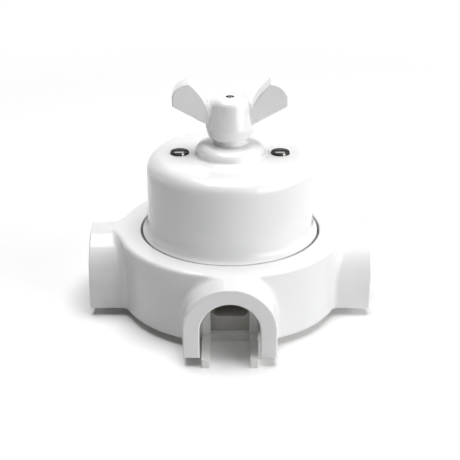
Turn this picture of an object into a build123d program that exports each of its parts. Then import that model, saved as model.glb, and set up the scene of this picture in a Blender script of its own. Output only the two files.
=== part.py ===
from build123d import *
import math
import os

# Porcelain two-way switch for surface wiring, with a ring of four conduit ports and a wing knob.
# Lengths are in millimetres. Z points out of the wall, Z = 0 is the wall, and -Y is the front port.

# Switch base, a porcelain dish that all the other radii are built out from
base_radius = 33.8
base_wall = 5.0
base_floor = 5.5
base_clearance = 0.6
base_foot_edge_radius = 0.5
base_floor_corner_radius = 1.2
base_flat_depth = 0.7
spigot_height = 1.8
spigot_wall = 1.4
spigot_clearance = 0.3
entry_sill = 0.6
entry_width = 13.0
entry_height = 12.0
entry_corner_radius = 2.0

# Mounting plate, a moulded tray with two prongs at each port
plate_thickness = 2.8
tray_wall = 3.0
slot_width = 14.4
conduit_stop_gap = 0.3
prong_width = 3.0
prong_height = 3.4
prong_beyond_port = 1.0
prong_edge_radius = 0.4
fixing_spacing = 52.0
fixing_hole_radius = 2.2
fixing_head_radius = 3.9
fixing_head_depth = 1.7
fixing_pocket_radius = 5.0
fixing_pocket_depth = 2.6

# Conduit ring, porcelain
ring_foot_gap = 3.4
ring_height = 27.4
ring_wall = 5.5
ring_clearance = 0.5
ring_edge_radius = 1.6
lip_thickness = 4.8
lip_gap = 0.9
port_bore_radius = 10.8
port_wall = 6.0
port_length = 10.7
port_blend_radius = 3.0
port_edge_radius = 0.6
crown_trim = 0.15

# Cover, a porcelain cap with a raised collar
seat_depth = 3.6
cover_height = 33.9
cover_wall = 3.6
cover_crown = 4.5
cover_draft = 0.25
cover_shoulder_radius = 5.6
cavity_corner_radius = 3.0
flange_overhang = 0.2
flange_height = 3.3
flange_width = 2.05
flange_edge_radius = 0.4
flare_angle = 37.0
flare_radius = 4.6
collar_foot_radius = 13.4
collar_shoulder_radius = 12.9
collar_shoulder_height = 4.0
collar_height = 4.4
collar_blend_radius = 1.2
collar_edge_radius = 3.5
neck_radius = 6.3
neck_height = 2.4
neck_blend_radius = 0.8
neck_edge_radius = 0.5
boss_radius = 5.2
boss_gap = 0.2

# Cover screws, slotted, with low domed heads in shallow seats
screw_inset = 9.7
cover_screw_radius = 1.75
cover_screw_grip = 10.0
cover_head_radius = 3.4
cover_head_height = 2.0
cover_head_seat_depth = 1.0
cover_head_clearance = 0.3
slot_cut_width = 0.9
slot_cut_depth = 0.9

# Knob, porcelain, a coned hub with two wings
knob_gap = 0.3
knob_height = 15.2
knob_foot_radius = 8.2
knob_rim_radius = 9.25
knob_rim_height = 3.9
knob_top_radius = 7.2
knob_top_edge_radius = 3.0
knob_foot_edge_radius = 1.0
knob_rim_edge_radius = 1.5
wing_thickness = 8.4
wing_edge_radius = 0.6
wing_reach = 21.4
wing_tip_height = 12.5
wing_side_height = 4.1
wing_peak_reach = 15.0
wing_peak_height = 21.25
wing_root_reach = 7.35
wing_root_height = 9.4
wing_foot_reach = 3.0
wing_foot_height = 2.3
wing_outer_arc_radius = 7.5
wing_inner_arc_radius = 22.0

# Knob screw, sunk in the knob's top
knob_screw_radius = 1.0
knob_screw_head_radius = 1.45
knob_screw_head_height = 1.5
knob_screw_sink = 0.4
knob_screw_hole_clearance = 0.15
knob_screw_length = 8.0

# Spindle, a shaft with a square for the rotor and another for the knob
spindle_radius = 3.0
spindle_square = 4.2
journal_radius = 2.0
journal_depth = 3.0
spindle_in_knob = 11.3
shoulder_in_knob = 1.5
square_clearance = 0.1
running_fit = 0.05
running_gap = 0.3
clip_groove_depth = 0.4

# Lower bearing and retaining clip
bush_radius = 4.5
bush_depth = 3.5
bush_flange_radius = 6.0
bush_flange_thickness = 1.0
washer_radius = 5.0
washer_thickness = 0.8
clip_radius = 4.0
clip_thickness = 0.8
clip_mouth = 2.6

# Rotor stack, from the clip up to the shoulder of the spindle
rotor_hub_radius = 5.5
rotor_hub_height = 2.7
rotor_radius = 9.0
rotor_thickness = 5.5
plate_hub_radius = 7.0
plate_lobe_radius = 11.5
plate_lobe_width = 6.0
contact_plate_thickness = 0.8
spacer_radius = 4.2
spacer_height = 5.2
cam_width = 12.0
cam_corner_radius = 7.3
cam_height = 6.0

# Pillars, bridge and nuts
pillar_radius = 3.5
pillar_foot_radius = 4.6
pillar_foot_height = 1.5
pillar_ledge_radius = 4.9
pillar_ledge_height = 1.0
pillar_neck_radius = 2.5
pillar_neck_height = 14.0
bridge_above_cam = 4.0
bridge_thickness = 2.0
bridge_width = 11.0
bridge_end = 5.5
bridge_corner_radius = 4.0
bridge_bearing_radius = 5.5
bridge_bearing_height = 2.0
bridge_hole_clearance = 0.1
nut_across_flats = 8.0
nut_height = 3.0

# Detent springs, two leaves hooked round the pillars
leaf_thickness = 0.6
leaf_height = 5.0
leaf_hook_length = 3.4
leaf_slope_length = 5.2
leaf_bend_radius = 2.0
leaf_clearance = 0.1
leaf_end_angle = 15.0

# Terminals and contact fingers, set round the rotor at these angles
first_way_angle = 45.0
second_way_angle = 135.0
common_angle = 225.0
terminal_length = 9.0
terminal_width = 8.0
terminal_wall_gap = 1.3
terminal_edge = 0.5
wire_hole_radius = 2.1
wire_hole_below_top = 5.1
finger_thickness = 0.8
finger_width = 6.0
way_finger_tip_radius = 8.2
common_finger_tip_radius = 5.2
terminal_screw_radius = 1.5
terminal_screw_length = 5.0
terminal_head_radius = 2.8
terminal_head_height = 1.8

# Base screws, driven from below into the pillars and the terminals
base_screw_radius = 1.6
base_screw_grip = 4.0
base_screw_clearance = 0.3
base_head_radius = 3.3
base_head_height = 2.2
base_head_sink = 0.4

# Radii from the base outwards
base_bore_radius = base_radius - base_wall
tray_bore_radius = base_radius + base_clearance
tray_radius = tray_bore_radius + tray_wall
ring_bore_radius = tray_radius + ring_clearance
ring_radius = ring_bore_radius + ring_wall
port_face = ring_radius + port_length
port_radius = port_bore_radius + port_wall
port_wall_start = math.sqrt(ring_bore_radius ** 2 - port_bore_radius ** 2)
conduit_stop = port_wall_start - conduit_stop_gap
flange_radius = base_radius + flange_overhang
lip_radius = flange_radius + lip_gap
cover_foot_radius = flange_radius - flange_width
cover_top_radius = cover_foot_radius - cover_draft
spigot_radius = base_bore_radius + spigot_wall

# Heights from the wall outwards
ring_bottom = ring_foot_gap
ring_top = ring_bottom + ring_height
tray_top = ring_top - lip_thickness
port_axis_height = ring_top + crown_trim - port_radius
floor_top = plate_thickness + base_floor
seat_height = ring_top - seat_depth
cover_top = seat_height + cover_height
crown_underside = cover_top - cover_crown
collar_top = cover_top + collar_height
neck_top = collar_top + neck_height
knob_bottom = neck_top + knob_gap
knob_top = knob_bottom + knob_height

# Heights of the mechanism
spindle_bottom = floor_top - journal_depth
bush_top = floor_top + bush_flange_thickness
washer_top = bush_top + washer_thickness
clip_bottom = washer_top + running_gap
clip_top = clip_bottom + clip_thickness
rotor_top = clip_top + rotor_hub_height + rotor_thickness
contact_plate_top = rotor_top + contact_plate_thickness
cam_bottom = contact_plate_top + spacer_height
cam_top = cam_bottom + cam_height
bridge_bottom = cam_top + bridge_above_cam
bridge_top = bridge_bottom + bridge_thickness
pillar_top = bridge_bottom + pillar_neck_height
terminal_top = contact_plate_top + running_gap
finger_top = terminal_top + finger_thickness
spindle_top = knob_bottom + spindle_in_knob
shoulder_top = knob_bottom + shoulder_in_knob
leaf_bottom = cam_bottom + (cam_height - leaf_height) / 2

# Places round the axis
screw_x = base_bore_radius - screw_inset
terminal_distance = base_bore_radius - terminal_wall_gap - terminal_length / 2
terminal_angles = (first_way_angle, second_way_angle, common_angle)
port_angles = (0, 90, 180, 270)


def bar(radius, low, high, x=0.0, y=0.0):
    """Round bar along Z between two heights."""
    height = high - low
    return Pos(x, y, low + height / 2) * Cylinder(radius, height)


def block(length, width, low, high, x=0.0, y=0.0):
    """Rectangular bar along Z between two heights."""
    height = high - low
    return Pos(x, y, low + height / 2) * Box(length, width, height)


def turned(outline, corner_radii):
    """Solid of revolution about Z from a closed outline of radius and height."""
    section = Plane.XZ * FilletPolyline(*outline, radius=corner_radii, close=True)
    return revolve(make_face(section), Axis.Z)


def plate(sketch, low, high):
    """Flat piece cut from a sketch, between two heights."""
    return extrude(Pos(0, 0, low) * sketch, amount=high - low, dir=(0, 0, 1))


def square_bore(low, high):
    """Square hole that drives a piece from the spindle."""
    width = spindle_square + 2 * square_clearance
    return block(width, width, low, high)


def screw_slot(length, top, x=0.0, y=0.0):
    """Cut for a screwdriver across a head."""
    return block(length, slot_cut_width, top - slot_cut_depth, top, x, y)


def port_profile(half_width):
    """Arch with straight legs, square to the port's axis, drawn on the wall plane."""
    leg = port_axis_height - ring_bottom
    arch = Pos(0, port_axis_height) * Circle(half_width)
    legs = Pos(0, port_axis_height - leg / 2) * Rectangle(2 * half_width, leg)
    below = Pos(0, ring_bottom - half_width / 2) * Rectangle(2 * half_width, half_width)
    return arch + legs - below


def port_arch(half_width, start, end):
    """Arch of a port along -Y, from one distance to another."""
    profile = Plane.XZ.offset(start) * port_profile(half_width)
    return extrude(profile, amount=end - start)


def make_conduit_ring():
    """Ring with four arched ports that run into its wall with soft blends."""
    over_height = ring_height + port_blend_radius + ring_wall
    body = bar(ring_radius, ring_bottom, ring_bottom + over_height)
    for angle in port_angles:
        body += Rot(0, 0, angle) * port_arch(port_radius, lip_radius, port_face)
    joints = [edge for edge in body.edges() if lies_on_ring_wall(edge)]
    body = fillet(joints, port_blend_radius)

    # The crowns of the arches are trimmed flush with the ring's top
    body &= bar(2 * port_face, ring_bottom, ring_top)
    top_edges = body.edges().filter_by_position(Axis.Z, ring_top, ring_top)
    top_edges = [edge for edge in top_edges if not lies_on_port_face(edge)]
    body = fillet(top_edges, ring_edge_radius)

    body -= bar(ring_bore_radius, ring_bottom, tray_top)
    body -= bar(lip_radius, ring_bottom, ring_top)
    for angle in port_angles:
        tunnel = port_arch(port_bore_radius, tray_bore_radius, port_face)
        body -= Rot(0, 0, angle) * tunnel
    rims = [edge for edge in body.edges() if lies_on_port_face(edge) or is_lip_edge(edge)]
    return fillet(rims, port_edge_radius)


def lies_on_ring_wall(edge):
    """True for a joint between an arch and the ring's outer wall."""
    points = [edge @ share for share in (0.0, 0.25, 0.5, 0.75, 1.0)]
    on_wall = all(abs(math.hypot(p.X, p.Y) - ring_radius) < 0.01 for p in points)
    heights = [p.Z for p in points]
    return on_wall and max(heights) > ring_bottom + 0.1 and max(heights) < ring_top + 2 * crown_trim


def lies_on_port_face(edge):
    """True for an edge of a port's open end."""
    centre = edge.bounding_box().center()
    size = edge.bounding_box().size
    flat_x = size.X < 0.001 and abs(abs(centre.X) - port_face) < 0.001
    flat_y = size.Y < 0.001 and abs(abs(centre.Y) - port_face) < 0.001
    return flat_x or flat_y


def is_lip_edge(edge):
    """True for the upper edge of the opening that the cover stands in."""
    point = edge @ 0.5
    return abs(math.hypot(point.X, point.Y) - lip_radius) < 0.001 and abs(point.Z - ring_top) < 0.001


def make_mounting_plate():
    """Tray with four open slots, flats and prongs beside each slot and two wall-screw holes."""
    body = bar(tray_radius, 0, tray_top) - bar(tray_bore_radius, plate_thickness, tray_top)
    prong_reach = port_face + prong_beyond_port
    prong_start = tray_bore_radius
    prong_y = (prong_start + prong_reach) / 2
    prong_x = (slot_width + prong_width) / 2
    for angle in port_angles:
        slot = block(slot_width, 2 * tray_wall, plate_thickness, tray_top, y=-tray_radius + tray_wall / 2)
        beyond_flat = block(2 * port_radius, tray_wall, plate_thickness, tray_top, y=-conduit_stop - tray_wall / 2)
        before_floor = block(slot_width, tray_wall, 0, plate_thickness, y=-conduit_stop - tray_wall / 2)
        body -= Rot(0, 0, angle) * (slot + beyond_flat + before_floor)
        for side in (-1, 1):
            prong = block(prong_width, prong_reach - prong_start, 0, prong_height, side * prong_x, -prong_y)
            prong = fillet(prong.edges().filter_by(Axis.Z).group_by(Axis.Y)[0], prong_edge_radius)
            body += Rot(0, 0, angle) * prong
    head_low = plate_thickness - fixing_head_depth
    for side in (-1, 1):
        y = side * fixing_spacing / 2
        body -= bar(fixing_hole_radius, 0, plate_thickness, y=y)
        sink = Cone(fixing_hole_radius, fixing_head_radius, fixing_head_depth)
        body -= Pos(0, y, (head_low + plate_thickness) / 2) * sink
    return body


def make_switch_base():
    """Porcelain dish with a spigot for the cover, and a flat with a wire entry behind each port."""
    outline = (
        (0, plate_thickness),
        (base_radius, plate_thickness),
        (base_radius, seat_height),
        (spigot_radius, seat_height),
        (spigot_radius, seat_height + spigot_height),
        (base_bore_radius, seat_height + spigot_height),
        (base_bore_radius, floor_top),
        (0, floor_top),
    )
    body = turned(outline, (0, base_foot_edge_radius, 0, 0, 0, 0, base_floor_corner_radius, 0))
    entry_middle = floor_top + entry_sill + entry_height / 2
    entry = extrude(RectangleRounded(entry_width, entry_height, entry_corner_radius), amount=3 * base_wall)
    entry = Pos(0, -base_bore_radius + base_wall, entry_middle) * (Rot(90, 0, 0) * entry)
    flat_y = base_radius - base_flat_depth
    beyond_flat = block(base_radius, base_wall, plate_thickness, tray_top, y=-flat_y - base_wall / 2)
    for angle in port_angles:
        body -= Rot(0, 0, angle) * (entry + beyond_flat)
    for side in (-1, 1):
        pocket_top = plate_thickness + fixing_pocket_depth
        body -= bar(fixing_pocket_radius, plate_thickness, pocket_top, y=side * fixing_spacing / 2)
    body -= bar(bush_radius, floor_top - bush_depth, floor_top)
    for x, y in base_screw_places():
        head_pocket = base_head_height + base_head_sink
        body -= bar(base_head_radius + base_screw_clearance, plate_thickness, plate_thickness + head_pocket, x, y)
        body -= bar(base_screw_radius + base_screw_clearance, plate_thickness, floor_top, x, y)
    return body


def base_screw_places():
    """Centres of the screws under the two pillars and the three terminals."""
    places = [(-screw_x, 0.0), (screw_x, 0.0)]
    for angle in terminal_angles:
        turn = math.radians(angle)
        places.append((terminal_distance * math.cos(turn), terminal_distance * math.sin(turn)))
    return places


def make_base_screws():
    """The five screws under the base, cheese heads downwards."""
    head_bottom = plate_thickness + base_head_sink
    head_top = head_bottom + base_head_height
    screws = []
    for x, y in base_screw_places():
        screw = bar(base_head_radius, head_bottom, head_top, x, y)
        screw += bar(base_screw_radius, head_top, floor_top + base_screw_grip, x, y)
        screw -= block(2 * base_head_radius, slot_cut_width, head_bottom, head_bottom + slot_cut_depth, x, y)
        screws.append(screw.solid())
    return Compound(screws)


def make_cover():
    """Cap with a flared foot, a round shoulder and a collar for the knob."""
    flare_rise = flange_width * math.tan(math.radians(flare_angle))
    slope_length = flange_width / math.cos(math.radians(flare_angle))
    tangent_ratio = math.tan(math.radians((90 - flare_angle) / 2))
    flare_limit = 0.95 * (slope_length / tangent_ratio - flange_edge_radius)
    flange_top = seat_height + flange_height
    outline = (
        (0, seat_height),
        (flange_radius, seat_height),
        (flange_radius, flange_top),
        (cover_foot_radius, flange_top + flare_rise),
        (cover_top_radius, cover_top),
        (collar_foot_radius, cover_top),
        (collar_shoulder_radius, cover_top + collar_shoulder_height),
        (neck_radius, collar_top),
        (neck_radius, neck_top),
        (0, neck_top),
    )
    radii = (
        0,
        flange_edge_radius,
        flange_edge_radius,
        min(flare_radius, flare_limit),
        cover_shoulder_radius,
        collar_blend_radius,
        collar_edge_radius,
        neck_blend_radius,
        neck_edge_radius,
        0,
    )
    body = turned(outline, radii)

    rebate_radius = spigot_radius + spigot_clearance
    rebate_top = seat_height + spigot_height + spigot_clearance
    cavity = (
        (0, seat_height),
        (rebate_radius, seat_height),
        (rebate_radius, rebate_top),
        (cover_foot_radius - cover_wall, rebate_top),
        (cover_top_radius - cover_wall, crown_underside),
        (0, crown_underside),
    )
    body -= turned(cavity, (0, 0, 0, 0, cavity_corner_radius, 0))
    body -= bar(spindle_radius + running_gap, seat_height, neck_top)
    for side in (-1, 1):
        x = side * screw_x
        body += bar(boss_radius, pillar_top + boss_gap, crown_underside, x)
        body -= bar(cover_screw_radius + cover_head_clearance, seat_height, cover_top, x)
        body -= bar(cover_head_radius + cover_head_clearance, cover_top - cover_head_seat_depth, cover_top, x)
    return body


def make_cover_screw(x):
    """Slotted screw with a low domed head."""
    seat = cover_top - cover_head_seat_depth
    top = seat + cover_head_height
    dome_radius = (cover_head_radius ** 2 + cover_head_height ** 2) / (2 * cover_head_height)
    dome = Pos(x, 0, top - dome_radius) * Sphere(dome_radius)
    head = dome & bar(cover_head_radius, seat, top, x)
    head -= screw_slot(2 * cover_head_radius, top, x)
    return head + bar(cover_screw_radius, pillar_top - cover_screw_grip, seat, x)


def make_knob():
    """Coned hub with two wings, a squared socket below and a sunk screw hole above."""
    outline = (
        (0, knob_bottom),
        (knob_foot_radius, knob_bottom),
        (knob_rim_radius, knob_bottom + knob_rim_height),
        (knob_top_radius, knob_top),
        (0, knob_top),
    )
    radii = (0, knob_foot_edge_radius, knob_rim_edge_radius, knob_top_edge_radius, 0)
    body = turned(outline, radii)
    wing = make_wing()
    body += wing
    body += mirror(wing, Plane.YZ)

    socket_top = spindle_top + knob_screw_hole_clearance
    shoulder_pocket = shoulder_top + knob_screw_hole_clearance
    screw_seat = knob_screw_seat()
    body -= bar(spindle_radius + running_gap, knob_bottom, shoulder_pocket)
    body -= square_bore(knob_bottom, socket_top)
    body -= bar(knob_screw_radius + knob_screw_hole_clearance, socket_top, screw_seat)
    body -= bar(knob_screw_head_radius + knob_screw_hole_clearance, screw_seat, knob_top)
    return body


def make_wing():
    """One wing, on the +X side, with its edges rounded all round."""
    foot = (wing_foot_reach, knob_bottom + wing_foot_height)
    tip = (wing_reach, knob_bottom + wing_tip_height)
    side_top = (wing_reach, knob_bottom + wing_tip_height + wing_side_height)
    peak = (wing_peak_reach, knob_bottom + wing_peak_height)
    root = (wing_root_reach, knob_bottom + wing_root_height)
    inner = (wing_foot_reach, knob_bottom + wing_root_height)
    outline = Line(foot, tip) + Line(tip, side_top)
    outline += RadiusArc(side_top, peak, -wing_outer_arc_radius)
    outline += RadiusArc(peak, root, -wing_inner_arc_radius)
    outline += Line(root, inner) + Line(inner, foot)
    face = make_face(Plane.XZ * outline)
    corners = [v for v in face.vertices() if v.X > wing_foot_reach + wing_edge_radius]
    face = fillet(corners, wing_edge_radius)
    wing = extrude(face, amount=wing_thickness / 2, both=True)
    rims = wing.faces().filter_by(Axis.Y).edges()
    return fillet(rims, wing_edge_radius)


def knob_screw_seat():
    """Height of the face under the knob screw's head."""
    return knob_top - knob_screw_sink - knob_screw_head_height


def make_knob_screw():
    """Small cheese-head screw that pulls the knob onto the spindle."""
    seat = knob_screw_seat()
    top = seat + knob_screw_head_height
    head = bar(knob_screw_head_radius, seat, top)
    head -= screw_slot(2 * knob_screw_head_radius, top)
    return head + bar(knob_screw_radius, seat - knob_screw_length, seat)


def make_spindle():
    """Shaft with a lower journal, a square for the rotor, a round neck and a square for the knob."""
    body = bar(journal_radius, spindle_bottom, clip_top)
    body += block(spindle_square, spindle_square, clip_top, cam_top)
    body += bar(spindle_radius, cam_top, shoulder_top)
    body += block(spindle_square, spindle_square, shoulder_top, spindle_top)
    groove = bar(journal_radius, clip_bottom, clip_top) - bar(clip_groove_radius(), clip_bottom, clip_top)
    body -= groove
    return body - bar(knob_screw_radius, knob_screw_seat() - knob_screw_length - 1, spindle_top)


def clip_groove_radius():
    """Radius at the bottom of the clip's groove."""
    return journal_radius - clip_groove_depth


def make_retaining_clip():
    """Open clip that snaps into the journal's groove."""
    body = bar(clip_radius, clip_bottom, clip_top) - bar(clip_groove_radius(), clip_bottom, clip_top)
    return body - block(clip_mouth, clip_radius, clip_bottom, clip_top, y=-clip_radius / 2)


def make_spindle_bush():
    """Flanged bush that the spindle's journal turns in."""
    body = bar(bush_radius, floor_top - bush_depth, floor_top)
    body += bar(bush_flange_radius, floor_top, bush_top)
    return body - bar(journal_radius + running_fit, spindle_bottom - running_fit, bush_top)


def make_thrust_washer():
    """Washer between the bush and the clip."""
    return bar(washer_radius, bush_top, washer_top) - bar(journal_radius + running_gap, bush_top, washer_top)


def make_contact_rotor():
    """Insulating disc on a hub, driven by the spindle's square."""
    hub_top = clip_top + rotor_hub_height
    body = bar(rotor_hub_radius, clip_top, hub_top) + bar(rotor_radius, hub_top, rotor_top)
    return body - square_bore(clip_top, rotor_top)


def make_bridge_contact():
    """Brass plate with two lobes, which joins the common finger to one way or the other."""
    lobes = Rectangle(2 * plate_lobe_radius, plate_lobe_width) & Circle(plate_lobe_radius)
    sketch = Rot(0, 0, first_way_angle) * (Circle(plate_hub_radius) + lobes)
    return plate(sketch, rotor_top, contact_plate_top) - square_bore(rotor_top, contact_plate_top)


def make_rotor_spacer():
    """Tube that holds the cam above the contact plate."""
    return bar(spacer_radius, contact_plate_top, cam_bottom) - square_bore(contact_plate_top, cam_bottom)


def make_detent_cam():
    """Square cam with rounded corners, one flat for each stop."""
    body = block(cam_width, cam_width, cam_bottom, cam_top) & bar(cam_corner_radius, cam_bottom, cam_top)
    return body - square_bore(cam_bottom, cam_top)


def make_pillar(x):
    """Turned pillar with a foot, a ledge for the springs and a threaded neck."""
    outline = (
        (0, floor_top),
        (pillar_foot_radius, floor_top),
        (pillar_foot_radius, floor_top + pillar_foot_height),
        (pillar_radius, floor_top + pillar_foot_height),
        (pillar_radius, leaf_bottom - pillar_ledge_height),
        (pillar_ledge_radius, leaf_bottom - pillar_ledge_height),
        (pillar_ledge_radius, leaf_bottom),
        (pillar_radius, leaf_bottom),
        (pillar_radius, bridge_bottom),
        (pillar_neck_radius, bridge_bottom),
        (pillar_neck_radius, pillar_top),
        (0, pillar_top),
    )
    body = Pos(x, 0, 0) * turned(outline, 0)
    body -= bar(base_screw_radius, floor_top, floor_top + base_screw_grip, x)
    return body - bar(cover_screw_radius, pillar_top - cover_screw_grip, pillar_top, x)


def make_bridge_plate():
    """Strap across the pillars with the spindle's upper bearing drawn up in its middle."""
    length = 2 * (screw_x + bridge_end)
    sketch = RectangleRounded(length, bridge_width, bridge_corner_radius)
    body = plate(sketch, bridge_bottom, bridge_top)
    body += bar(bridge_bearing_radius, bridge_top, bridge_top + bridge_bearing_height)
    body -= bar(spindle_radius + running_fit, bridge_bottom, bridge_top + bridge_bearing_height)
    for side in (-1, 1):
        body -= bar(pillar_neck_radius + bridge_hole_clearance, bridge_bottom, bridge_top, side * screw_x)
    return body


def make_pillar_nut(x):
    """Hexagon nut on a pillar's neck."""
    hexagon = RegularPolygon(nut_across_flats / 2, 6, major_radius=False)
    body = plate(Pos(x, 0) * hexagon, bridge_top, bridge_top + nut_height)
    return body - bar(pillar_neck_radius, bridge_top, bridge_top + nut_height, x)


def make_detent_spring(side):
    """Leaf that lies along one flat of the cam and hooks round both pillars."""
    hook_radius = pillar_radius + leaf_clearance + leaf_thickness / 2
    flat_y = cam_width / 2 + running_gap + leaf_thickness / 2
    bend_x = screw_x - leaf_hook_length
    half_flat = bend_x - leaf_slope_length
    end = math.radians(90 - leaf_end_angle)
    end_point = (screw_x + hook_radius * math.sin(end), hook_radius * math.cos(end))
    middle = math.radians((90 - leaf_end_angle) / 2)
    middle_point = (screw_x + hook_radius * math.sin(middle), hook_radius * math.cos(middle))
    bends = FilletPolyline(
        (0, flat_y),
        (half_flat, flat_y),
        (bend_x, hook_radius),
        (screw_x, hook_radius),
        radius=leaf_bend_radius,
    )
    path = bends + ThreePointArc((screw_x, hook_radius), middle_point, end_point)
    half = plate(trace(path, leaf_thickness), leaf_bottom, leaf_bottom + leaf_height)
    body = half + mirror(half, Plane.YZ)
    if side < 0:
        body = mirror(body, Plane.XZ)
    return body


def make_terminal(angle):
    """Brass block with a cross hole for the wire, tapped from above and from below."""
    body = block(terminal_length, terminal_width, floor_top, terminal_top)
    body = chamfer(body.edges().filter_by(Axis.Z), terminal_edge)
    wire_height = terminal_top - wire_hole_below_top
    wire_hole = Pos(0, 0, wire_height) * (Rot(90, 0, 0) * Cylinder(wire_hole_radius, terminal_width))
    body -= wire_hole
    body -= bar(terminal_screw_radius, wire_height, terminal_top)
    body -= bar(base_screw_radius, floor_top, floor_top + base_screw_grip)
    return at_terminal(body, angle)


def at_terminal(shape, angle):
    """Move a piece that is drawn on the axis out to the terminal at an angle."""
    return Rot(0, 0, angle) * (Pos(terminal_distance, 0, 0) * shape)


def make_contact_finger(angle, tip_radius):
    """Springy strip from a terminal in over the rotor's contact plate."""
    tip_centre = tip_radius + finger_width / 2
    outer_end = terminal_distance + terminal_length / 2
    strip = Pos((tip_centre + outer_end) / 2, 0) * Rectangle(outer_end - tip_centre, finger_width)
    strip += Pos(tip_centre, 0) * Circle(finger_width / 2)
    strip -= Pos(terminal_distance, 0) * Circle(terminal_screw_radius)
    return plate(Rot(0, 0, angle) * strip, terminal_top, finger_top)


def make_terminal_screw(angle):
    """Screw that clamps the finger on its terminal and the wire in the cross hole."""
    head_top = finger_top + terminal_head_height
    head = bar(terminal_head_radius, finger_top, head_top)
    head -= screw_slot(2 * terminal_head_radius, head_top)
    screw = head + bar(terminal_screw_radius, finger_top - terminal_screw_length, finger_top)
    return at_terminal(screw, angle)


pieces = {
    "mounting_plate": make_mounting_plate(),
    "conduit_ring": make_conduit_ring(),
    "switch_base": make_switch_base(),
    "base_screws": make_base_screws(),
    "cover": make_cover(),
    "cover_screw_left": make_cover_screw(-screw_x),
    "cover_screw_right": make_cover_screw(screw_x),
    "pillar_left": make_pillar(-screw_x),
    "pillar_right": make_pillar(screw_x),
    "pillar_nut_left": make_pillar_nut(-screw_x),
    "pillar_nut_right": make_pillar_nut(screw_x),
    "bridge_plate": make_bridge_plate(),
    "spindle_bush": make_spindle_bush(),
    "thrust_washer": make_thrust_washer(),
    "detent_spring_front": make_detent_spring(-1),
    "detent_spring_back": make_detent_spring(1),
    "knob": make_knob(),
    "knob_screw": make_knob_screw(),
    "spindle": make_spindle(),
    "retaining_clip": make_retaining_clip(),
    "contact_rotor": make_contact_rotor(),
    "bridge_contact": make_bridge_contact(),
    "rotor_spacer": make_rotor_spacer(),
    "detent_cam": make_detent_cam(),
}

terminals = {
    "first_way": (first_way_angle, way_finger_tip_radius),
    "second_way": (second_way_angle, way_finger_tip_radius),
    "common": (common_angle, common_finger_tip_radius),
}
for name, (angle, tip_radius) in terminals.items():
    pieces[name + "_terminal"] = make_terminal(angle)
    pieces[name + "_contact"] = make_contact_finger(angle, tip_radius)
    pieces[name + "_terminal_screw"] = make_terminal_screw(angle)

os.makedirs("parts", exist_ok=True)
for name, piece in pieces.items():
    export_step(piece, "parts/" + name + ".step")
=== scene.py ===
import bmesh
import bpy
import math
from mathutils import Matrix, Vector


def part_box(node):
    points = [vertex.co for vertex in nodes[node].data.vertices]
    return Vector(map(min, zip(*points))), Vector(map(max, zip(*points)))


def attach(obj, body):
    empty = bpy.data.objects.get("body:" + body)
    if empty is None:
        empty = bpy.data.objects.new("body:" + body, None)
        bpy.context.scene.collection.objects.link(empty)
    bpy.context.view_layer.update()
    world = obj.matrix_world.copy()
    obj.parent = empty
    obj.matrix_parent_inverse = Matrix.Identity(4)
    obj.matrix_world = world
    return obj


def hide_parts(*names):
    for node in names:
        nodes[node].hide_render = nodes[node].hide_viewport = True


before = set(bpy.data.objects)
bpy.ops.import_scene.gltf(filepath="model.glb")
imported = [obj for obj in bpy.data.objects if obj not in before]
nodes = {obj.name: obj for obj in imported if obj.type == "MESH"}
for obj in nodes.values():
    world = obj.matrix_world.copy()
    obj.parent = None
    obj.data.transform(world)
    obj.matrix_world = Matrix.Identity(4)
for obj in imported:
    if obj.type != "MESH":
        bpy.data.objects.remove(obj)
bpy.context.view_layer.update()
scene = bpy.context.scene
scene.view_settings.view_transform = "Standard"


# Camera. It stands at the photograph's place, in front of the switch and above it, and looks down.
camera_distance = 0.41721
camera_elevation = math.radians(24.731)
camera_target = Vector((0, 0, 0.02891))
camera_data = bpy.data.cameras.new("camera")
camera_data.sensor_width = 36
camera_data.lens = 83.25
camera = bpy.data.objects.new("camera", camera_data)
camera_back = Vector((0, -math.cos(camera_elevation), math.sin(camera_elevation)))
camera.location = camera_target + camera_back * camera_distance
camera.rotation_euler = (math.pi / 2 - camera_elevation, 0, 0)
scene.collection.objects.link(camera)
scene.camera = camera


# Floor. A white sheet on a table. It takes the switch's shadow, and fades to plain white further out.
# Seen directly it is white, and it throws less light back up than it shows, as a sheet of grey paper does.
floor_half_width = 6.0
floor_colour = (0.65, 0.65, 0.652, 1)
shown_floor_colour = (1.1, 1.1, 1.105, 1)
shadow_reach = 0.16
white_reach = 0.40


def new_material(name):
    """A node material, its tree and its Principled shader."""
    material = bpy.data.materials.new(name)
    material.use_nodes = True
    tree = material.node_tree
    return material, tree, tree.nodes["Principled BSDF"]


def link(tree, source, output, target, socket):
    """Joins two nodes, each socket by its name or number."""
    tree.links.new(source.outputs[output], target.inputs[socket])


def combined(tree, operation, first, second, outputs=(0, 0)):
    """A node that works out one value from two others."""
    node = tree.nodes.new("ShaderNodeMath")
    node.operation = operation
    link(tree, first, outputs[0], node, 0)
    link(tree, second, outputs[1], node, 1)
    return node


def vector_step(tree, operation, source, output, by=None):
    """A node that works on another's vector, with a vector of its own where the operation needs one."""
    node = tree.nodes.new("ShaderNodeVectorMath")
    node.operation = operation
    link(tree, source, output, node, 0)
    if by is not None:
        node.inputs[1].default_value = by
    return node


def seen_directly(tree):
    """A node that is 1 for camera, mirror and glass rays, and 0 for the rays that carry light."""
    path = tree.nodes.new("ShaderNodeLightPath")
    camera_or_mirror = combined(tree, "MAXIMUM", path, path, ("Is Camera Ray", "Is Glossy Ray"))
    return combined(tree, "MAXIMUM", camera_or_mirror, path, (0, "Is Transmission Ray"))


def flat_panel(name, corners, material):
    """A studio panel of one face, which is not part of the switch."""
    mesh = bpy.data.meshes.new(name)
    mesh.from_pydata(corners, [], [(0, 1, 2, 3)])
    mesh.materials.append(material)
    panel = bpy.data.objects.new(name, mesh)
    scene.collection.objects.link(panel)
    return panel


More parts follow.
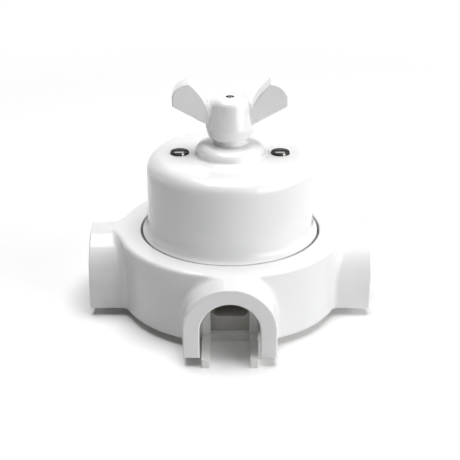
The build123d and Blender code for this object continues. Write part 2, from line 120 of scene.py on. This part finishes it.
floor_material = bpy.data.materials.new("white_sheet")
floor_material.use_nodes = True
tree = floor_material.node_tree
tree.nodes.clear()
paper = tree.nodes.new("ShaderNodeBsdfDiffuse")
paper.inputs["Color"].default_value = floor_colour
shown_paper = tree.nodes.new("ShaderNodeBsdfDiffuse")
shown_paper.inputs["Color"].default_value = shown_floor_colour
plain_white = tree.nodes.new("ShaderNodeEmission")
place = tree.nodes.new("ShaderNodeNewGeometry")
distance = vector_step(tree, "LENGTH", place, "Position")
fade = tree.nodes.new("ShaderNodeMapRange")
fade.interpolation_type = "SMOOTHSTEP"
fade.inputs["From Min"].default_value = shadow_reach
fade.inputs["From Max"].default_value = white_reach
shown_floor = tree.nodes.new("ShaderNodeMixShader")
choice = tree.nodes.new("ShaderNodeMixShader")
output = tree.nodes.new("ShaderNodeOutputMaterial")
link(tree, distance, "Value", fade, "Value")
link(tree, fade, "Result", shown_floor, 0)
link(tree, shown_paper, 0, shown_floor, 1)
link(tree, plain_white, 0, shown_floor, 2)
link(tree, seen_directly(tree), 0, choice, 0)
link(tree, paper, 0, choice, 1)
link(tree, shown_floor, 0, choice, 2)
link(tree, choice, 0, output, "Surface")
corners = [(-1, -1), (1, -1), (1, 1), (-1, 1)]
flat_panel("floor", [(x * floor_half_width, y * floor_half_width, 0) for x, y in corners], floor_material)


# Studio light. A square softbox hangs over the switch, a long one stands to the right and a small one to
# the left, in a dim room. Two black cards, in front and to the left, darken the glaze's reflections there.
# The room is dim for the rays that carry light, and white where it is seen or mirrored.
room_light = 0.035
shown_room = 1.0
card_black = (0.012, 0.012, 0.012, 1)
card_roughness = 0.9
lamps = {
    "overhead": {"place": (0.0, 0.04, 0.87), "aim": (0, 0.04, 0), "size": (0.66, 0.66), "power": 7.3},
    "right": {"place": (0.83, -0.35, 0.34), "aim": (0, 0, 0.34), "size": (1.1, 0.6), "power": 7.1},
    "left": {"place": (-0.87, 0.24, 0.17), "aim": (0, 0, 0.05), "size": (0.14, 0.12), "power": 0.12},
}
for name, lamp in lamps.items():
    light = bpy.data.lights.new(name, "AREA")
    light.shape = "RECTANGLE"
    light.size, light.size_y = lamp["size"]
    light.energy = lamp["power"]
    holder = bpy.data.objects.new(name, light)
    holder.location = lamp["place"]
    facing = Vector(lamp["aim"]) - Vector(lamp["place"])
    holder.rotation_euler = facing.to_track_quat("-Z", "Y").to_euler()
    holder.visible_camera = False
    scene.collection.objects.link(holder)

world = bpy.data.worlds.new("room")
world.use_nodes = True
scene.world = world
tree = world.node_tree
background = tree.nodes["Background"]
background.inputs["Color"].default_value = (1, 1, 1, 1)
strength = tree.nodes.new("ShaderNodeMapRange")
strength.inputs["To Min"].default_value = room_light
strength.inputs["To Max"].default_value = shown_room
link(tree, seen_directly(tree), 0, strength, "Value")
link(tree, strength, "Result", background, "Strength")

card_material, tree, shader = new_material("black_card")
shader.inputs["Base Color"].default_value = card_black
shader.inputs["Roughness"].default_value = card_roughness
cards = {
    "card_in_front": [(-1.2, -1.2, 0.1), (0.5, -1.2, 0.1), (0.5, -1.0, 1.4), (-1.2, -1.0, 1.4)],
    "card_left": [(-1.3, -1.1, 0.3), (-1.3, 0.8, 0.3), (-1.1, 0.8, 1.3), (-1.1, -1.1, 1.3)],
}
for name, corners in cards.items():
    card = flat_panel(name, corners, card_material)
    card.visible_camera = False
    card.visible_diffuse = False
    card.visible_shadow = False


# Mounting plate. The tray is injection moulded in white plastic, with two prongs under each port. Two
# countersunk screws hold it to the wall. Its skin is satin, with a fine grain from the mould.
tray_white = (0.95, 0.945, 0.925, 1)
tray_shade = (0.92, 0.915, 0.89, 1)
tray_grain_height = 0.00003

# The mix node's colour sockets share their names with others, so they go by number.
mix_share, mix_first, mix_second, mix_result = 0, 6, 7, 2


def noise(tree, scale, detail=2.0, place=None, output="Object"):
    """Noise in cells per metre, in the piece's own space or over a given place."""
    node = tree.nodes.new("ShaderNodeTexNoise")
    node.inputs["Scale"].default_value = scale
    node.inputs["Detail"].default_value = detail
    if place is None:
        place = tree.nodes.new("ShaderNodeTexCoord")
    link(tree, place, output, node, "Vector")
    return node


def ramp(tree, source, output, low=0.0, high=1.0, start=0.0, end=1.0):
    """A node that runs from low to high as its source runs from start to end."""
    node = tree.nodes.new("ShaderNodeMapRange")
    node.inputs["From Min"].default_value = start
    node.inputs["From Max"].default_value = end
    node.inputs["To Min"].default_value = low
    node.inputs["To Max"].default_value = high
    link(tree, source, output, node, "Value")
    return node


def blend_colours(tree, source, output, first, second):
    """A node that goes from a colour, or another blend, to a second colour as its source goes from 0 to 1."""
    node = tree.nodes.new("ShaderNodeMix")
    node.data_type = "RGBA"
    if isinstance(first, bpy.types.Node):
        link(tree, first, mix_result, node, mix_first)
    else:
        node.inputs[mix_first].default_value = first
    node.inputs[mix_second].default_value = second
    link(tree, source, output, node, mix_share)
    return node


def bump(tree, source, output, shader, height):
    """Raises the surface by up to a height in metres where the source is 1."""
    node = tree.nodes.new("ShaderNodeBump")
    node.inputs["Distance"].default_value = height
    link(tree, source, output, node, "Height")
    link(tree, node, "Normal", shader, "Normal")


def dress(names, material):
    """Gives CAD nodes a material."""
    for name in names:
        mesh = nodes[name].data
        mesh.materials.clear()
        mesh.materials.append(material)


tray_material, tree, shader = new_material("tray_plastic")
grain = noise(tree, scale=900, detail=3)
cloud = noise(tree, scale=35)
tint = blend_colours(tree, cloud, 0, tray_white, tray_shade)
link(tree, tint, mix_result, shader, "Base Color")
link(tree, ramp(tree, grain, 0, low=0.28, high=0.42), 0, shader, "Roughness")
bump(tree, grain, 0, shader, tray_grain_height)
dress(["mounting_plate"], tray_material)


# Conduit ring. It is pressed in porcelain with its four arched ports, dipped in a clear white glaze and
# fired. The glaze lies thick and slightly uneven. Faces that stood in the kiln are left bare.
glaze_white = (0.90, 0.90, 0.895, 1)
glaze_shade = (0.87, 0.875, 0.875, 1)
bare_clay = (0.80, 0.78, 0.74, 1)
bare_clay_roughness = 0.75
glaze_ior = 1.52


def glazed_porcelain(name, ripple_height, white=glaze_white, shade=glaze_shade):
    """White glaze that shines unevenly and has soft ripples, with bare clay on the faces that look down."""
    material, tree, shader = new_material(name)
    pooling = noise(tree, scale=45, detail=3)
    tone = ramp(tree, pooling, 0, start=0.35, end=0.65)
    glaze = blend_colours(tree, tone, 0, white, shade)
    surface = tree.nodes.new("ShaderNodeNewGeometry")
    facing = tree.nodes.new("ShaderNodeSeparateXYZ")
    link(tree, surface, "Normal", facing, 0)
    bare = ramp(tree, facing, "Z", low=1, high=0, start=-0.995, end=-0.97)
    colour = blend_colours(tree, bare, 0, glaze, bare_clay)
    link(tree, colour, mix_result, shader, "Base Color")
    shine = ramp(tree, pooling, 0, low=0.012, high=0.035, start=0.3, end=0.7)
    bare_roughness = ramp(tree, bare, 0, high=bare_clay_roughness)
    link(tree, combined(tree, "MAXIMUM", shine, bare_roughness), 0, shader, "Roughness")
    shader.inputs["IOR"].default_value = glaze_ior
    bump(tree, noise(tree, scale=160, detail=1), 0, shader, ripple_height)
    return material


dress(["conduit_ring"], glazed_porcelain("ring_glaze", ripple_height=0.00003))


# Switch base. A second porcelain piece, a dish that stands in the tray and holds the whole mechanism. It has
# a wire entry towards each port, and is glazed as the ring is. Its colour is darkened as painted shade, for
# the dim inside of the ring.
# These darker colours are painted shade, for the dim inside of the ring's ports.
base_painted_shade_white = (0.60, 0.59, 0.555, 1)
base_painted_shade_tone = (0.55, 0.54, 0.50, 1)
dress(["switch_base"], glazed_porcelain("base_glaze_painted_shade", 0.00004, base_painted_shade_white, base_painted_shade_tone))


# Lower bearing. A turned brass bush is pressed into the base's floor, and a steel washer lies on it to take
# the thrust of the spindle. The clip above the washer snaps into a groove in the spindle.
metal_mark_height = 0.000006


def middle_of(name):
    """The middle of a CAD node's box."""
    low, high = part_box(name)
    return (Vector(low) + Vector(high)) / 2


def turned_place(tree, centre):
    """A place by its distance from an upright axis and its height, in which a lathe's marks are noise."""
    coordinates = tree.nodes.new("ShaderNodeTexCoord")
    from_axis = vector_step(tree, "SUBTRACT", coordinates, "Object", (centre.x, centre.y, 0))
    flat = vector_step(tree, "MULTIPLY", from_axis, "Vector", (1, 1, 0))
    radius = vector_step(tree, "LENGTH", flat, "Vector")
    height = tree.nodes.new("ShaderNodeSeparateXYZ")
    joined = tree.nodes.new("ShaderNodeCombineXYZ")
    link(tree, coordinates, "Object", height, 0)
    link(tree, radius, "Value", joined, "X")
    link(tree, height, "Z", joined, "Z")
    return joined


def drawn_place(tree, squeeze):
    """A place squeezed along the way that a strip was rolled, in which its scratches are noise."""
    coordinates = tree.nodes.new("ShaderNodeTexCoord")
    return vector_step(tree, "MULTIPLY", coordinates, "Object", squeeze)


def worked_metal(name, bright, dull, shine, centre=None, squeeze=(1, 1, 1), mark_scale=2500):
    """Metal with a cloudy tarnish, turned about an upright axis, or else rolled, drawn or milled.

    Its shine is its lowest and its highest roughness.
    """
    material, tree, shader = new_material(name)
    place = drawn_place(tree, squeeze) if centre is None else turned_place(tree, centre)
    marks = noise(tree, mark_scale, 2, place, "Vector")
    tarnish = noise(tree, scale=180, detail=3)
    tone = ramp(tree, tarnish, 0, start=0.35, end=0.65)
    tint = blend_colours(tree, tone, 0, bright, dull)
    link(tree, tint, mix_result, shader, "Base Color")
    link(tree, ramp(tree, marks, 0, *shine, start=0.3, end=0.7), 0, shader, "Roughness")
    shader.inputs["Metallic"].default_value = 1.0
    bump(tree, marks, 0, shader, metal_mark_height)
    return material


brass_bright = (0.76, 0.60, 0.30, 1)
brass_dull = (0.60, 0.44, 0.20, 1)
steel_bright = (0.60, 0.60, 0.60, 1)
steel_dull = (0.46, 0.46, 0.47, 1)
middle_axis = Vector((0, 0, 0))
turned_brass = worked_metal("bush_brass", brass_bright, brass_dull, (0.18, 0.34), middle_axis)
turned_steel = worked_metal("washer_steel", steel_bright, steel_dull, (0.20, 0.36), middle_axis)
dress(["spindle_bush"], turned_brass)
dress(["thrust_washer", "retaining_clip"], turned_steel)


# Rotor. The steel spindle turns in the bush and in the bridge. Its lower square carries a brown phenolic
# disc, the brass contact plate, a spacer and the square cam, all slid on from below and held by the clip.
rolled_along_x = (0.05, 1, 1)
milled_upright = (1, 1, 0.05)
moulding_brown = (0.16, 0.09, 0.06, 1)
moulding_filler = (0.26, 0.16, 0.10, 1)
moulding_grain_height = 0.000015
spindle_steel = worked_metal("spindle_steel", steel_bright, steel_dull, (0.14, 0.28), middle_axis,
                             mark_scale=4000)
dress(["spindle", "rotor_spacer"], spindle_steel)
cam_steel = worked_metal("cam_steel", steel_bright, steel_dull, (0.16, 0.32), squeeze=milled_upright)
dress(["detent_cam"], cam_steel)
plate_brass = worked_metal("contact_plate_brass", brass_bright, brass_dull, (0.16, 0.30),
                           squeeze=rolled_along_x)
dress(["bridge_contact"], plate_brass)

phenolic, tree, shader = new_material("rotor_moulding")
filler = noise(tree, scale=1400, detail=4)
flow = noise(tree, scale=90, detail=2)
grains = ramp(tree, filler, 0, start=0.48, end=0.62)
speckle = blend_colours(tree, grains, 0, moulding_brown, moulding_filler)
link(tree, speckle, mix_result, shader, "Base Color")
link(tree, ramp(tree, flow, 0, low=0.26, high=0.44), 0, shader, "Roughness")
bump(tree, filler, 0, shader, moulding_grain_height)
dress(["contact_rotor"], phenolic)


# Detent springs. Two leaves of blued spring steel lie on the cam's flats and hook round the pillars. They
# bend outwards as the cam turns, and snap the knob from one quarter turn to the next.
blued_bright = (0.30, 0.33, 0.40, 1)
blued_dull = (0.16, 0.17, 0.22, 1)
blued_steel = worked_metal("blued_steel", blued_bright, blued_dull, (0.20, 0.34), squeeze=rolled_along_x)
dress(["detent_spring_front", "detent_spring_back"], blued_steel)


# Pillars, bridge and nuts. Two turned brass pillars stand on the base. A zinc-plated steel strap lies across
# them with the spindle's upper bearing drawn up in its middle, and two plated nuts hold it down.
for side in ("left", "right"):
    pillar = f"pillar_{side}"
    pillar_brass = worked_metal(f"{pillar}_brass", brass_bright, brass_dull, (0.18, 0.34), middle_of(pillar))
    dress([pillar], pillar_brass)

zinc_bright = (0.62, 0.63, 0.65, 1)
zinc_dull = (0.47, 0.48, 0.50, 1)
zinc_plate = worked_metal("zinc_plate", zinc_bright, zinc_dull, (0.26, 0.46), squeeze=rolled_along_x)
dress(["bridge_plate"], zinc_plate)

nickel_bright = (0.55, 0.55, 0.54, 1)
nickel_dull = (0.40, 0.395, 0.38, 1)
nut_nickel = worked_metal("nut_nickel", nickel_bright, nickel_dull, (0.14, 0.28), squeeze=milled_upright)
dress(["pillar_nut_left", "pillar_nut_right"], nut_nickel)


# Terminals and contact fingers. Three brass blocks are cut from drawn bar and cross-drilled for the wires.
# A strip of springy bronze runs in from each one over the contact plate, and a cheese-head screw clamps it.
bronze_bright = (0.72, 0.48, 0.30, 1)
bronze_dull = (0.56, 0.35, 0.22, 1)
block_brass = worked_metal("block_brass", brass_bright, brass_dull, (0.20, 0.38), squeeze=rolled_along_x)
strip_bronze = worked_metal("strip_bronze", bronze_bright, bronze_dull, (0.18, 0.32), squeeze=rolled_along_x)
for way in ("common", "first_way", "second_way"):
    dress([f"{way}_terminal"], block_brass)
    dress([f"{way}_contact"], strip_bronze)


# Terminal screws. Each is a nickel-plated brass cheese-head with a real thread, cut on a lathe. It clamps its
# finger on the block's top, and its end clamps the wire in the cross hole.
mm = 0.001
screw_sides = 64
rings_per_pitch = 8
thread_runout = 0.8 * mm
tip_chamfer = 0.3 * mm
thread_depth_share = 0.55
head_steps = 8
sharp_edge_angle = 38

# Lengths in shank radii: from where a screw is long, and the plain necks of a long and of a short one
long_screw_length = 6.0
long_screw_neck = 1.5
short_screw_neck = 0.4


def rounded_head(radius, rim_height, crown, edge_radius):
    """Outline of a screw's head as radius and height, from the middle of its top down to its seat."""
    dome_radius = (radius ** 2 + crown ** 2) / (2 * crown)
    outline = []
    for step in range(head_steps + 1):
        r = (radius - edge_radius) * step / head_steps
        outline.append((r, rim_height + math.sqrt(dome_radius ** 2 - r ** 2) - (dome_radius - crown)))
    start_height = outline[-1][1]
    for step in range(1, head_steps + 1):
        turn = math.pi / 2 * step / head_steps
        r = radius - edge_radius + edge_radius * math.sin(turn)
        outline.append((r, start_height - edge_radius * (1 - math.cos(turn))))
    outline.append((radius, 0.0))
    return outline


def thread_depth(height, angle, pitch, top, bottom):
    """How deep the thread is cut at a height and an angle. It runs out at the top and at the tip."""
    share = (height / pitch + angle / (2 * math.pi)) % 1.0
    groove = 1 - abs(2 * share - 1)
    runout = min(1.0, max(0.0, top - height) / thread_runout, max(0.0, height - bottom) / tip_chamfer)
    return thread_depth_share * pitch * groove * runout


def add_ring(shape, place, radii, height, turned_over):
    """One ring of a turned piece, with its own radius at each angle."""
    ring = []
    for side, radius in enumerate(radii):
        angle = 2 * math.pi * side / screw_sides
        x = radius * math.cos(angle)
        y = radius * math.sin(angle)
        way = -1 if turned_over else 1
        ring.append(shape.verts.new((place.x + x, place.y + way * y, place.z + way * height)))
    return ring


def add_screw(shape, place, outline, shank_radius, length, pitch, turned_over=False):
    """A screw with its seat at a place: its turned head, and a shank that is threaded down to its tip.

    The plain neck over the thread is longer on a long screw.
    """
    rings = [add_ring(shape, place, [r] * screw_sides, z, turned_over) for r, z in outline[1:]]
    neck = long_screw_neck if length > long_screw_length * shank_radius else short_screw_neck
    thread_top = -neck * shank_radius
    rings.append(add_ring(shape, place, [shank_radius] * screw_sides, 0.0, turned_over))
    count = int((length + thread_top) / pitch * rings_per_pitch)
    for step in range(count + 1):
        height = thread_top - (length + thread_top) * step / count
        chamfer = max(0.0, tip_chamfer - (height + length))
        radii = []
        for side in range(screw_sides):
            angle = 2 * math.pi * side / screw_sides
            radii.append(shank_radius - chamfer - thread_depth(height, angle, pitch, thread_top, -length))
        rings.append(add_ring(shape, place, radii, height, turned_over))
    for upper, lower in zip(rings, rings[1:]):
        for side in range(screw_sides):
            following = (side + 1) % screw_sides
            shape.faces.new((upper[side], lower[side], lower[following], upper[following]))
    way = -1 if turned_over else 1
    crown = shape.verts.new((place.x, place.y, place.z + way * outline[0][1]))
    for side in range(screw_sides):
        shape.faces.new((crown, rings[0][side], rings[0][(side + 1) % screw_sides]))
    shape.faces.new(list(reversed(rings[-1])))


def box_object(name, low, high):
    """A plain box between two corners, to cut with."""
    corners = [(x, y, z) for x in (low[0], high[0]) for y in (low[1], high[1]) for z in (low[2], high[2])]
    faces = [(0, 1, 3, 2), (4, 6, 7, 5), (0, 4, 5, 1), (2, 3, 7, 6), (0, 2, 6, 4), (1, 5, 7, 3)]
    mesh = bpy.data.meshes.new(name)
    mesh.from_pydata(corners, [], faces)
    box = bpy.data.objects.new(name, mesh)
    scene.collection.objects.link(box)
    return box


def finish_screws(name, node, shape, slots, material, body):
    """Makes one piece of the screws in a mesh, saws their slots and lets the piece stand for its CAD node."""
    mesh = bpy.data.meshes.new(name)
    shape.to_mesh(mesh)
    shape.free()
    piece = bpy.data.objects.new(name, mesh)
    scene.collection.objects.link(piece)
    saws = [box_object(f"{name}_saw", low, high) for low, high in slots]
    for saw in saws:
        cut = piece.modifiers.new("slot", "BOOLEAN")
        cut.operation = "DIFFERENCE"
        cut.solver = "EXACT"
        cut.object = saw
    cut_mesh = bpy.data.meshes.new_from_object(piece.evaluated_get(bpy.context.evaluated_depsgraph_get()))
    piece.modifiers.clear()
    piece.data = cut_mesh
    for saw in saws:
        bpy.data.objects.remove(saw)
    for face in cut_mesh.polygons:
        face.use_smooth = True
    cut_mesh.set_sharp_from_angle(angle=math.radians(sharp_edge_angle))
    cut_mesh.materials.clear()
    cut_mesh.materials.append(material)
    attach(piece, body)
    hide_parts(node)


def slot_box(place, top, half_length, width, depth):
    """Corners of the saw cut along X across a head whose top is at a height over its place."""
    low = (place.x - half_length, place.y - width / 2, place.z + top - depth)
    high = (place.x + half_length, place.y + width / 2, place.z + top + depth)
    return low, high


terminal_head_height = 1.8 * mm
terminal_head = rounded_head(radius=2.8 * mm, rim_height=1.55 * mm, crown=0.25 * mm, edge_radius=0.35 * mm)
for way in ("common", "first_way", "second_way"):
    node = f"{way}_terminal_screw"
    low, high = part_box(node)
    seat = Vector((middle_of(node).x, middle_of(node).y, high[2] - terminal_head_height))
    shape = bmesh.new()
    add_screw(shape, seat, terminal_head, shank_radius=1.5 * mm, length=seat.z - low[2], pitch=0.5 * mm)
    cut = slot_box(seat, terminal_head_height, half_length=3.2 * mm, width=0.9 * mm, depth=0.9 * mm)
    nickel = worked_metal(f"{node}_nickel", nickel_bright, nickel_dull, (0.12, 0.26), seat)
    finish_screws(f"{node}_threaded", node, shape, [cut], nickel, "housing")


# Base screws. Five plain steel cheese-heads come up through the base's floor from below, into the pillars
# and the terminals. Their heads are sunk, so that the base stands flat on the tray.
base_screw_steel = worked_metal("base_screw_steel", steel_bright, steel_dull, (0.24, 0.42))
base_head_height = 2.2 * mm
base_screw_head = rounded_head(radius=3.3 * mm, rim_height=1.95 * mm, crown=0.25 * mm, edge_radius=0.4 * mm)
low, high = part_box("base_screws")
head_bottom = low[2]
shape = bmesh.new()
cuts = []
for held in ("pillar_left", "pillar_right", "common_terminal", "first_way_terminal", "second_way_terminal"):
    seat = Vector((middle_of(held).x, middle_of(held).y, head_bottom + base_head_height))
    add_screw(shape, seat, base_screw_head, 1.6 * mm, high[2] - seat.z, 0.6 * mm, turned_over=True)
    cuts.append(slot_box(seat, -base_head_height, half_length=3.7 * mm, width=0.9 * mm, depth=0.9 * mm))
finish_screws("base_screws_threaded", "base_screws", shape, cuts, base_screw_steel, "housing")


# Cover. The third porcelain piece, a cap with a flared foot and a round shoulder, drops over the base's
# spigot and closes the mechanism in. The spindle comes out through the neck in its middle.
dress(["cover"], glazed_porcelain("cover_glaze", ripple_height=0.00002))


# Cover screws. Two steel screws with wide, nearly flat heads hold the cover to the pillars. They are polished
# and plated in black nickel. Bright patches on each head are painted highlights of the softboxes, and the
# slot is painted shade.
plate_black = (0.026, 0.026, 0.024, 1)
plate_dull = (0.060, 0.060, 0.055, 1)
# This bright metal is painted highlight, put where the softboxes show in the plate.
painted_highlight_metal = (0.52, 0.515, 0.50, 1)
# This near black is painted shade, for the shadow in the slot.
slot_shade_black = (0.004, 0.004, 0.004, 1)
plate_edge_tint = (0.75, 0.75, 0.75, 1)
lathe_mark_height = 0.000004

# The painted highlights lie between these heights over the crown, and the slot's painted shade reaches just
# past its walls
painted_highlight_heights = (-0.7 * mm, 0.6 * mm)
slot_margin = 0.02 * mm


def band(tree, source, output, low, high, soft):
    """A node that is 1 between two values of its source and fades to 0 beside them."""
    rise = ramp(tree, source, output, start=low - soft, end=low + soft)
    fall = ramp(tree, source, output, low=1, high=0, start=high - soft, end=high + soft)
    return combined(tree, "MULTIPLY", rise, fall)


def patch(tree, parts, x_range, y_range, soft=0.1 * mm):
    """A node that is 1 in a patch of a screw's head, given by two ranges from its middle."""
    across = band(tree, parts, "X", *x_range, soft)
    along = band(tree, parts, "Y", *y_range, soft)
    return combined(tree, "MULTIPLY", across, along)


def black_nickel_painted_light(name, centre, reflection_range, glint_range, slot_width):
    """Polished black nickel plate, with two patches of bright metal on the head as painted highlights, and
    painted shade in the slot.
    """
    material, tree, shader = new_material(name)
    coordinates = tree.nodes.new("ShaderNodeTexCoord")
    place = vector_step(tree, "SUBTRACT", coordinates, "Object", centre)
    parts = tree.nodes.new("ShaderNodeSeparateXYZ")
    link(tree, place, "Vector", parts, 0)
    # The two patches are painted highlights: a softbox's reflection near the slot and a glint at the near
    # rim.
    reflection_patch = patch(tree, parts, *reflection_range)
    painted_patches = combined(tree, "MAXIMUM", reflection_patch, patch(tree, parts, *glint_range))
    near_top = band(tree, parts, "Z", *painted_highlight_heights, 0.05 * mm)
    painted_highlight = combined(tree, "MULTIPLY", painted_patches, near_top)
    slot_reach = slot_width / 2 + slot_margin
    # The slot's walls and floor are painted near black, as painted shade.
    in_slot = band(tree, parts, "Y", -slot_reach, slot_reach, 0.01 * mm)
    under_top = ramp(tree, parts, "Z", low=1, high=0, start=-0.05 * mm, end=0)
    slot_shade = combined(tree, "MULTIPLY", in_slot, under_top)
    tarnish = ramp(tree, noise(tree, scale=600, detail=3), 0, start=0.45, end=0.65)
    black = blend_colours(tree, tarnish, 0, plate_black, plate_dull)
    black_and_highlights = blend_colours(tree, painted_highlight, 0, black, painted_highlight_metal)
    colour = blend_colours(tree, slot_shade, 0, black_and_highlights, slot_shade_black)
    link(tree, colour, mix_result, shader, "Base Color")
    link(tree, ramp(tree, reflection_patch, 0, low=0.1, high=0.5), 0, shader, "Roughness")
    shader.inputs["Metallic"].default_value = 1.0
    shader.inputs["Specular Tint"].default_value = plate_edge_tint
    bump(tree, noise(tree, 2500, 2, turned_place(tree, centre), "Vector"), 0, shader, lathe_mark_height)
    return material


# These two patches are painted highlights: the overhead softbox mirrored near the slot, and a glint of the
# right softbox at the near rim.
painted_reflection_place = (-1.8 * mm, 1.6 * mm), (-2.0 * mm, -0.8 * mm)
painted_glint_place = (0.95 * mm, 1.75 * mm), (-3.7 * mm, -2.5 * mm)
solid_head_height = 2.0 * mm
crown_height = 1.86 * mm
slot_width = 0.9 * mm
cover_head = rounded_head(radius=3.5 * mm, rim_height=1.78 * mm, crown=0.08 * mm, edge_radius=0.15 * mm)
for side in ("left", "right"):
    node = f"cover_screw_{side}"
    low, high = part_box(node)
    seat = Vector((middle_of(node).x, middle_of(node).y, high[2] - solid_head_height))
    shape = bmesh.new()
    add_screw(shape, seat, cover_head, shank_radius=1.75 * mm, length=seat.z - low[2], pitch=0.6 * mm)
    cut = slot_box(seat, crown_height, half_length=3.9 * mm, width=slot_width, depth=1.0 * mm)
    crown = seat + Vector((0, 0, crown_height))
    plating = black_nickel_painted_light(f"{node}_black_nickel_painted_light", crown, painted_reflection_place, painted_glint_place, slot_width)
    finish_screws(f"{node}_threaded", node, shape, [cut], plating, "housing")


# Knob. The last porcelain piece, a coned hub with two flat wings, fits over the spindle's square. It is
# glazed all over, apart from its foot.
dress(["knob"], glazed_porcelain("knob_glaze", ripple_height=0.00001))


# Knob screw. A small black nickel screw in a hole in the knob's top pulls the knob down on the spindle. Its
# head stands just proud of the porcelain. It is cut as the cover's screws are, with a finer thread, and has
# their painted highlights and painted shade in the slot.
knob_solid_head_height = 1.5 * mm
knob_crown_height = 2.03 * mm
knob_slot_width = 0.5 * mm
knob_head = rounded_head(radius=1.57 * mm, rim_height=1.95 * mm, crown=0.08 * mm, edge_radius=0.1 * mm)
# These two patches are painted highlights, as on the cover's screws.
knob_painted_reflection_place = (-0.6 * mm, 0.8 * mm), (-0.9 * mm, -0.5 * mm)
knob_painted_glint_place = (0.5 * mm, 1.0 * mm), (-1.7 * mm, -0.9 * mm)
low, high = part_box("knob_screw")
seat = Vector((0, 0, high[2] - knob_solid_head_height))
shape = bmesh.new()
add_screw(shape, seat, knob_head, shank_radius=1.0 * mm, length=seat.z - low[2], pitch=0.4 * mm)
cut = slot_box(seat, knob_crown_height, half_length=1.8 * mm, width=knob_slot_width, depth=0.6 * mm)
crown = seat + Vector((0, 0, knob_crown_height))
plating = black_nickel_painted_light("knob_screw_black_nickel_painted_light", crown, knob_painted_reflection_place, knob_painted_glint_place, knob_slot_width)
finish_screws("knob_screw_threaded", "knob_screw", shape, [cut], plating, "rotor")
